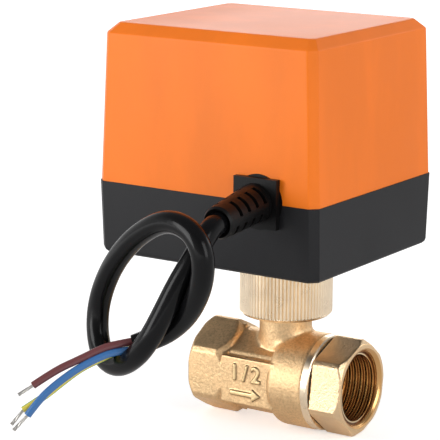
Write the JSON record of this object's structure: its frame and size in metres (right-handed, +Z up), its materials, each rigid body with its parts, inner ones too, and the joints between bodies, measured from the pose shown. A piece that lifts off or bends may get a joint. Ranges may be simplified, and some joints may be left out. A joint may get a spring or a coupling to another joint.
{
  "type": "motorized ball valve",
  "caption": "Brass ball valve with threaded pipe ends, turned by a small geared electric actuator that a knurled union nut holds on the neck; a short cable leaves its side.",
  "frame": {"origin": "centre of the ball, where the pipe axis and the stem axis cross", "axes": "+X along the pipe towards the screwed-in end connector, -Y towards the side that the cable leaves, +Z up the stem towards the actuator"},
  "size_m": [0.072, 0.1251, 0.1164],
  "materials": {
    "body_brass": "fine blasted casting with machined faces",
    "nut_brass": "bright machined and knurled",
    "ball_chrome": "polished plating",
    "stem_brass": "turned",
    "seat_plastic": "white fluoropolymer",
    "seal_rubber": "moulded rubber",
    "base_plastic": "fine textured charcoal moulding",
    "cover_plastic": "fine textured orange moulding",
    "boot_rubber": "moulded flexible PVC",
    "jacket_pvc": "glossy black PVC",
    "core_brown_pvc": "brown PVC",
    "core_blue_pvc": "blue PVC",
    "core_yellow_green_pvc": "yellow PVC with a green stripe",
    "tinned_copper": "tinned copper strands",
    "steel": "zinc plated",
    "gear_plastic": "natural acetal",
    "motor_steel": "deep-drawn zinc plated can",
    "board_laminate": "green laminate",
    "switch_plastic": "black moulding",
    "plunger_plastic": "red moulding",
    "capacitor_sleeve": "shrunk sleeve",
    "terminal_plastic": "green moulding"
  },
  "bodies": {
    "valve": {"valve_body": "body_brass", "end_connector": "body_brass", "body_seal": "seal_rubber", "seat_inlet": "seat_plastic", "seat_outlet": "seat_plastic", "thrust_washer": "seat_plastic", "snap_ring": "steel", "base_shell": "base_plastic", "cover_shell": "cover_plastic", "housing_seal": "seal_rubber", "cover_screws": "steel", "strain_relief": "boot_rubber", "cord_jacket": "jacket_pvc", "core_brown": "core_brown_pvc", "core_blue": "core_blue_pvc", "core_yellow_green": "core_yellow_green_pvc", "bare_wire_ends": "tinned_copper", "lower_gear_plate": "steel", "upper_gear_plate": "steel", "floor_pillars": "stem_brass", "plate_pillars": "stem_brass", "board_pillars": "stem_brass", "gear_axle_1": "steel", "gear_axle_2": "steel", "motor": "motor_steel", "motor_screws": "steel", "output_bush": "stem_brass", "circuit_board": "board_laminate", "switch_open": "switch_plastic", "switch_closed": "switch_plastic", "capacitor": "capacitor_sleeve", "terminal_block": "terminal_plastic"},
    "ball": {"ball": "ball_chrome"},
    "stem": {"stem": "stem_brass", "stem_o_rings": "seal_rubber"},
    "output": {"output_shaft": "steel", "output_gear": "gear_plastic", "cam_open": "plunger_plastic", "cam_closed": "gear_plastic"},
    "second_gear": {"compound_gear_2": "gear_plastic"},
    "first_gear": {"compound_gear_1": "gear_plastic"},
    "rotor": {"motor_pinion": "stem_brass"},
    "nut": {"union_nut": "nut_brass"},
    "open_plunger": {"plunger_open": "plunger_plastic"},
    "closed_plunger": {"plunger_closed": "plunger_plastic"}
  },
  "joints": [
    {"name": "output_turn", "type": "hinge", "parent": "valve", "child": "output", "pos_m": [0, 0, 0.0475], "axis": [0, 0, 1], "range_deg": [0, 90]},
    {"name": "stem_turn", "type": "hinge", "parent": "valve", "child": "stem", "pos_m": [0, 0, 0.02], "axis": [0, 0, 1], "range_deg": [0, 90]},
    {"name": "ball_turn", "type": "hinge", "parent": "valve", "child": "ball", "pos_m": [0, 0, 0], "axis": [0, 0, 1], "range_deg": [0, 90]},
    {"name": "second_gear_spin", "type": "hinge", "parent": "valve", "child": "second_gear", "pos_m": [-0.01301, 0.01301, 0.051], "axis": [0, 0, 1], "range_deg": [-324, 0]},
    {"name": "first_gear_spin", "type": "hinge", "parent": "valve", "child": "first_gear", "pos_m": [-0.02612, 0.00383, 0.055], "axis": [0, 0, 1], "range_deg": [0, 972]},
    {"name": "rotor_spin", "type": "hinge", "parent": "valve", "child": "rotor", "pos_m": [-0.01583, -0.00842, 0.056], "axis": [0, 0, 1], "range_deg": [-2916, 0]},
    {"name": "union_nut_spin", "type": "hinge", "parent": "valve", "child": "nut", "pos_m": [0, 0, 0.025], "axis": [0, 0, 1], "continuous": true},
    {"name": "open_plunger_slide", "type": "slide", "parent": "valve", "child": "open_plunger", "axis": [-1, 0, 0], "range_m": [0, 0.0006]},
    {"name": "closed_plunger_slide", "type": "slide", "parent": "valve", "child": "closed_plunger", "axis": [-1, 0, 0], "range_m": [0, 0.0006]}
  ],
  "couplings": [
    {"joint": "stem_turn", "follows": "output_turn", "ratio": 1},
    {"joint": "ball_turn", "follows": "output_turn", "ratio": 1},
    {"joint": "second_gear_spin", "follows": "output_turn", "ratio": -3.6},
    {"joint": "first_gear_spin", "follows": "output_turn", "ratio": 10.8},
    {"joint": "rotor_spin", "follows": "output_turn", "ratio": -32.4},
    {"joint": "open_plunger_slide", "follows": "output_turn", "m_per_rad": 0.00038197},
    {"joint": "closed_plunger_slide", "follows": "output_turn", "m_per_rad": 0.00038197}
  ]
}
